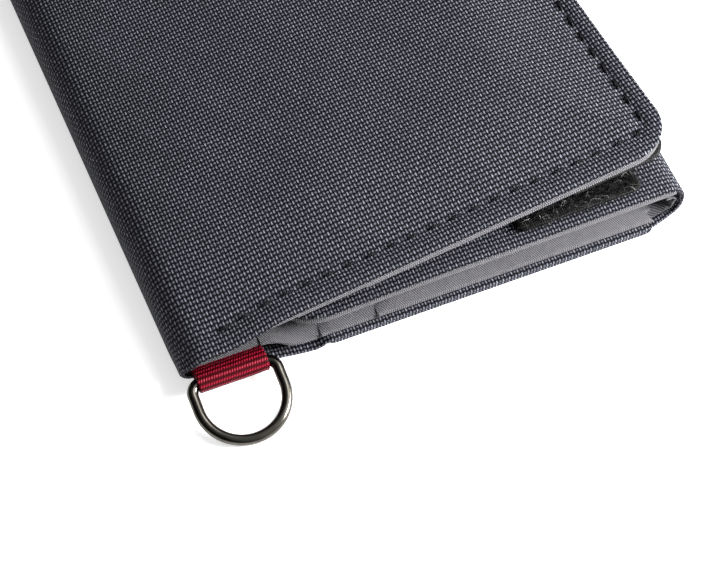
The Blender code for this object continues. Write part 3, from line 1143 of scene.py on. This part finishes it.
tape_cloth = make_tape()
filament = patterned_material(
    "black_filament", own_tone,
    [(0.00, (0.0010, 0.0010, 0.0010)), (0.80, (0.0038, 0.0038, 0.0038)),
     (0.93, (0.020, 0.020, 0.0195)), (1.00, (0.24, 0.24, 0.235))],
    roughness=0.45, specular=0.12)
hook_tape = cloth_panel(
    "hook_tape_cloth", (*HOOK_TAPE, 0.25, FLAP_LENGTH - 2.0), 2.0, 0.9,
    layer_surface(flap_frame, settle(-2.35, -3.65, 10.0), flap_spread), corner=(1.0, 4.0))
finish_piece(hook_tape, tape_cloth, "hook_tape", "flap")


def bent_filament(name, points, width):
    """A short bent filament, from a three-sided cylinder cut along its length."""
    deselect_all()
    bpy.ops.mesh.primitive_cylinder_add(vertices=3, radius=width / 2, depth=1.0,
                                        end_fill_type="NGON")
    strand = bpy.context.object
    strand.name = name
    bpy.ops.object.mode_set(mode="EDIT")
    for part in range(1, len(points) - 1):
        bpy.ops.mesh.select_all(action="SELECT")
        bpy.ops.mesh.bisect(plane_co=(0, 0, part / (len(points) - 1) - 0.5),
                            plane_no=(0, 0, 1))
    bpy.ops.object.mode_set(mode="OBJECT")
    line = [Vector(p) for p in points]
    for vertex in strand.data.vertices:
        place = min(int(round((vertex.co.z + 0.5) * (len(points) - 1))), len(points) - 1)
        before = line[max(place - 1, 0)]
        after = line[min(place + 1, len(line) - 1)]
        lean = (after - before).to_track_quat("Z", "Y")
        vertex.co = line[place] + lean @ Vector((vertex.co.x, vertex.co.y, 0.0))
    return strand


def copy_over(name, pattern, places, palest=1.0):
    """Copies of one modelled shape at many places, joined into one piece. Each copy
    has its own tone, from 0 for dark to palest."""
    count = len(pattern.data.vertices)
    co = np.zeros(count * 3)
    pattern.data.vertices.foreach_get("co", co)
    co = co.reshape(-1, 3)
    faces = [tuple(p.vertices) for p in pattern.data.polygons]
    if places[0].determinant() < 0:
        faces = [f[::-1] for f in faces]
    turns = np.array([np.array(m.to_3x3()) for m in places])
    moves = np.array([np.array(m.translation) for m in places])
    points = np.einsum("nij,kj->nki", turns, co) + moves[:, None, :]
    all_faces = [tuple(i + k * count for i in f) for k in range(len(places)) for f in faces]
    mesh = bpy.data.meshes.new(name)
    mesh.from_pydata((points.reshape(-1, 3) * MM).tolist(), [], all_faces)
    mesh.update()
    tones = mesh.attributes.new("tone", "FLOAT", "POINT")
    tones.data.foreach_set("value", np.repeat(
        np.random.default_rng(3).uniform(0, palest, len(places)), count))
    bpy.data.objects.remove(pattern, do_unlink=True)
    return add_object(name, mesh)


hook = bent_filament("hook", [(0, 0, 0), (0, 0, -0.5), (0.1, 0, -0.85), (0.35, 0, -0.95),
                              (0.5, 0, -0.75)], 0.2)
hook_places = []
for column, u in enumerate(np.arange(75.5, 90.0, HOOK_PITCH)):
    for row, v in enumerate(np.arange(HOOK_MARGIN, FLAP_LENGTH - HOOK_MARGIN, HOOK_PITCH)):
        face = Matrix.Translation((u + 0.4 * (row % 2), v, HOOK_FACE))
        flip = Matrix.Rotation(math.pi * (column % 2), 4, "Z")
        hook_places.append(flap_frame @ face @ flip)
hooks = copy_over("hook_rows", hook, hook_places, 0.8)
finish_piece(hooks, filament, None, "flap")

# ----------------------------------------
# Loop tape: a knitted black strip on the wing with a deep, unruly pile of fine
# loops. Stray loops stand over its edges.
LOOP_TAPE = (6.9, 30.6)
LOOP_FRONT = -59.8
LOOP_BACK = 59.8
loop_tape = cloth_panel(
    "loop_tape_cloth", (*LOOP_TAPE, LOOP_FRONT, LOOP_BACK), 1.6, 0.9,
    layer_surface(wing_frame, lambda u, v, inward: SHELL_THICKNESS + 0.42
                  + 0.15 * np.sin(u * 1.9 + v * 1.3) * np.sin(v * 0.9)),
    corner=(1.5, 1.5))
finish_piece(loop_tape, tape_cloth, "loop_tape", "wing")

random = np.random.default_rng(7)
PILE_HEIGHT = 1.15
DENSE_END = LOOP_FRONT + 17.0
for name, count, reach in (("pile_front", 1500, (LOOP_FRONT, DENSE_END)),
                           ("pile_rest", 2400, (DENSE_END, LOOP_BACK))):
    strand = bent_filament("loop", [(-0.75, 0, 0), (-0.85, 0.1, 0.5), (-0.45, 0.25, 0.92),
                                    (0.15, 0.1, 1.0), (0.7, -0.2, 0.7), (0.8, -0.1, 0.1)],
                           0.07)
    places = []
    for _ in range(count):
        u = random.uniform(LOOP_TAPE[0] + 0.1, LOOP_TAPE[1] - 0.1)
        v = random.uniform(reach[0] + 0.1, reach[1] - 0.1)
        lean = Matrix.Rotation(random.normal(0, 1.0), 4, "X") @ Matrix.Rotation(
            random.normal(0, 0.6), 4, "Y")
        turn = Matrix.Rotation(random.uniform(0, 2 * math.pi), 4, "Z")
        size = Matrix.Diagonal((random.uniform(0.5, 2.0), random.uniform(0.6, 2.0),
                                random.uniform(0.6, PILE_HEIGHT), 1.0))
        places.append(wing_frame @ Matrix.Translation((u, v, SHELL_THICKNESS + 0.7))
                      @ turn @ lean @ size)
    pile = copy_over(name, strand, places)
    finish_piece(pile, filament, None, "wing")

# ----------------------------------------
# Topstitching: heavy dark thread that runs in the flap's ditch, round its
# rounded corners.
STITCH_LENGTH = 2.7
STITCH_WIDTH = 0.62
STITCH_HEIGHT = 0.50
STITCH_DIP = 1.1
STITCH_ABOVE = 0.45
STITCHES_START = 6.5
DITCH_STEP = 0.25


def thread_twist(tree):
    """The turns of a twisted thread."""
    node = tree.nodes.new("ShaderNodeTexWave")
    node.inputs["Scale"].default_value = 900.0
    node.inputs["Distortion"].default_value = 1.5
    tree.links.new(object_place(tree), node.inputs["Vector"])
    return node.outputs["Fac"]


def flap_point(x, v, above):
    """A point over the stitched line of the cover."""
    u = x + flap_corner_out - FLAP_RADIUS * math.tan(flap_turn / 2)
    lift = flap_relief(np.array([u]), np.array([v]), np.array([DITCH_SIDE]))[0]
    spread = float(flap_spread(np.array([x]), np.array([v]))[0])
    sag = float(flap_sag(np.array([u]), np.array([v]))[0])
    local = Vector((x + spread, v - SAG_FORWARD * sag, FLAP_THICKNESS + lift + above - sag))
    return flap_frame @ local


def ditch_line():
    """Stations along the flap's ditch: front edge, corner, free edge, corner, back."""
    right = FLAP_REACH - DITCH_SIDE
    bend_x = right - DITCH_BEND
    front, back = DITCH_FRONT + DITCH_BEND, FLAP_LENGTH - DITCH_FRONT - DITCH_BEND
    line = [(x, DITCH_FRONT) for x in np.arange(STITCHES_START, bend_x, DITCH_STEP)]
    for start, centre_v in ((-90, front), (0, back)):
        if start == 0:
            line += [(right, v) for v in np.arange(front + DITCH_STEP, back, DITCH_STEP)]
        line += [(bend_x + DITCH_BEND * math.cos(a), centre_v + DITCH_BEND * math.sin(a))
                 for a in np.radians(np.linspace(start, start + 90, 20))]
    return line + [(x, FLAP_LENGTH - DITCH_FRONT)
                   for x in np.arange(bend_x, STITCHES_START, -DITCH_STEP)]


def thread_bead(shape):
    """A small bead of thread, with its points moved by shape(x, y, z)."""
    deselect_all()
    bpy.ops.mesh.primitive_uv_sphere_add(segments=6, ring_count=5, radius=0.5)
    bead = bpy.context.object
    for vertex in bead.data.vertices:
        vertex.co = Vector(shape(*vertex.co))
    return bead


stitched = [flap_point(x, v, STITCH_ABOVE) for x, v in ditch_line()]
stitch = thread_bead(lambda x, y, z: (x * STITCH_LENGTH, y * STITCH_WIDTH,
                                      z * STITCH_HEIGHT - STITCH_DIP * x * x))
places, travelled = [], STITCH_PITCH / 2
for before, here in zip(stitched, stitched[1:]):
    travelled += (here - before).length
    if travelled >= STITCH_PITCH:
        travelled -= STITCH_PITCH
        run = (here - before).normalized()
        up = (flap_frame.to_3x3() @ Vector((0, 0, 1))).normalized()
        side = up.cross(run).normalized()
        turn = Matrix((run, side, run.cross(side))).transposed().to_4x4()
        places.append(Matrix.Translation(here) @ turn)
flap_stitches = copy_over("flap_topstitching", stitch, places)
thread = patterned_material(
    "navy_thread", thread_twist,
    [(0.2, (0.0006, 0.0006, 0.0010)), (0.9, (0.0060, 0.0062, 0.0090))],
    relief=0.06, roughness=0.5, specular=0.15)
finish_piece(flap_stitches, thread, None, "flap")

# ----------------------------------------
# Pocket tacks: two short stitches that hold each centre card slot's mouth at the
# front edge, where a step is seen.
TACK_SIZE = (1.2, 0.22, 0.22)
tack_places = []
for mouth, layers in zip(CENTRE_MOUTHS, (0.15, 0.45, 0.75)):
    for across in (-0.25, 0.15):
        front = LINING_RIM[0] - 0.08 + float(behind_tab(mouth, LINING_RIM[0]))
        foot = Vector((mouth + across, front, float(centre_rim(mouth)) + layers))
        tack_places.append(Matrix.Translation(foot) @ Matrix.Rotation(RIGHT_ANGLE, 4, "Y"))
tack = thread_bead(lambda *point: [p * size for p, size in zip(point, TACK_SIZE)])
tacks = copy_over("pocket_tacks", tack, tack_places)
finish_piece(tacks, thread, None, "centre")

# ----------------------------------------
# Stage: a plain pale table, three soft lights from the right, the front and above,
# and a pale room that is dim on the left.
deselect_all()
bpy.ops.mesh.primitive_plane_add(size=6.0, location=(0, 0, 0))
floor = bpy.context.object
floor.name = "floor"
floor_paint, _, floor_shader = start_material("pale_table", roughness=0.6, specular=0.2)
for label, value in (("Base Color", (0.90, 0.90, 0.91, 1.0)),
                     ("Emission Color", (1.0, 1.0, 1.0, 1.0)), ("Emission Strength", 0.62)):
    floor_shader.inputs[label].default_value = value
floor.data.materials.append(floor_paint)


def soft_light(name, place, size, power, aim=(0, -0.03, 0.01)):
    """A square light that faces a point on the wallet. In metres and watts."""
    light = bpy.data.lights.new(name, "AREA")
    light.shape = "SQUARE"
    light.size = size
    light.energy = power
    lamp = add_object(name, light)
    lamp.location = place
    lamp.rotation_euler = (Vector(place) - Vector(aim)).to_track_quat("Z", "Y").to_euler()


soft_light("key", (1.00, -0.30, 0.46), 0.50, 14.0)
soft_light("side", (0.21, -0.17, 0.15), 0.10, 2.2, aim=(0.0, -0.02, 0.01))
soft_light("top", (0.60, 0.05, 1.0), 0.60, 8.0)
world = bpy.data.worlds.new("room")
world.use_nodes = True
room = world.node_tree.nodes["Background"]
room.inputs["Strength"].default_value = 0.72
sky = world.node_tree
towards_light = sky.nodes.new("ShaderNodeVectorMath")
towards_light.operation = "DOT_PRODUCT"
towards_light.inputs[1].default_value = (0.78, -0.20, 0.60)
sky.links.new(sky.nodes.new("ShaderNodeTexCoord").outputs["Generated"],
              towards_light.inputs[0])
feed(sky, room.inputs["Color"], colour_ramp(sky, towards_light.outputs["Value"], [
    (0.15, (0.06, 0.06, 0.065)), (0.75, (1.0, 1.0, 1.0))]))
bpy.context.scene.world = world
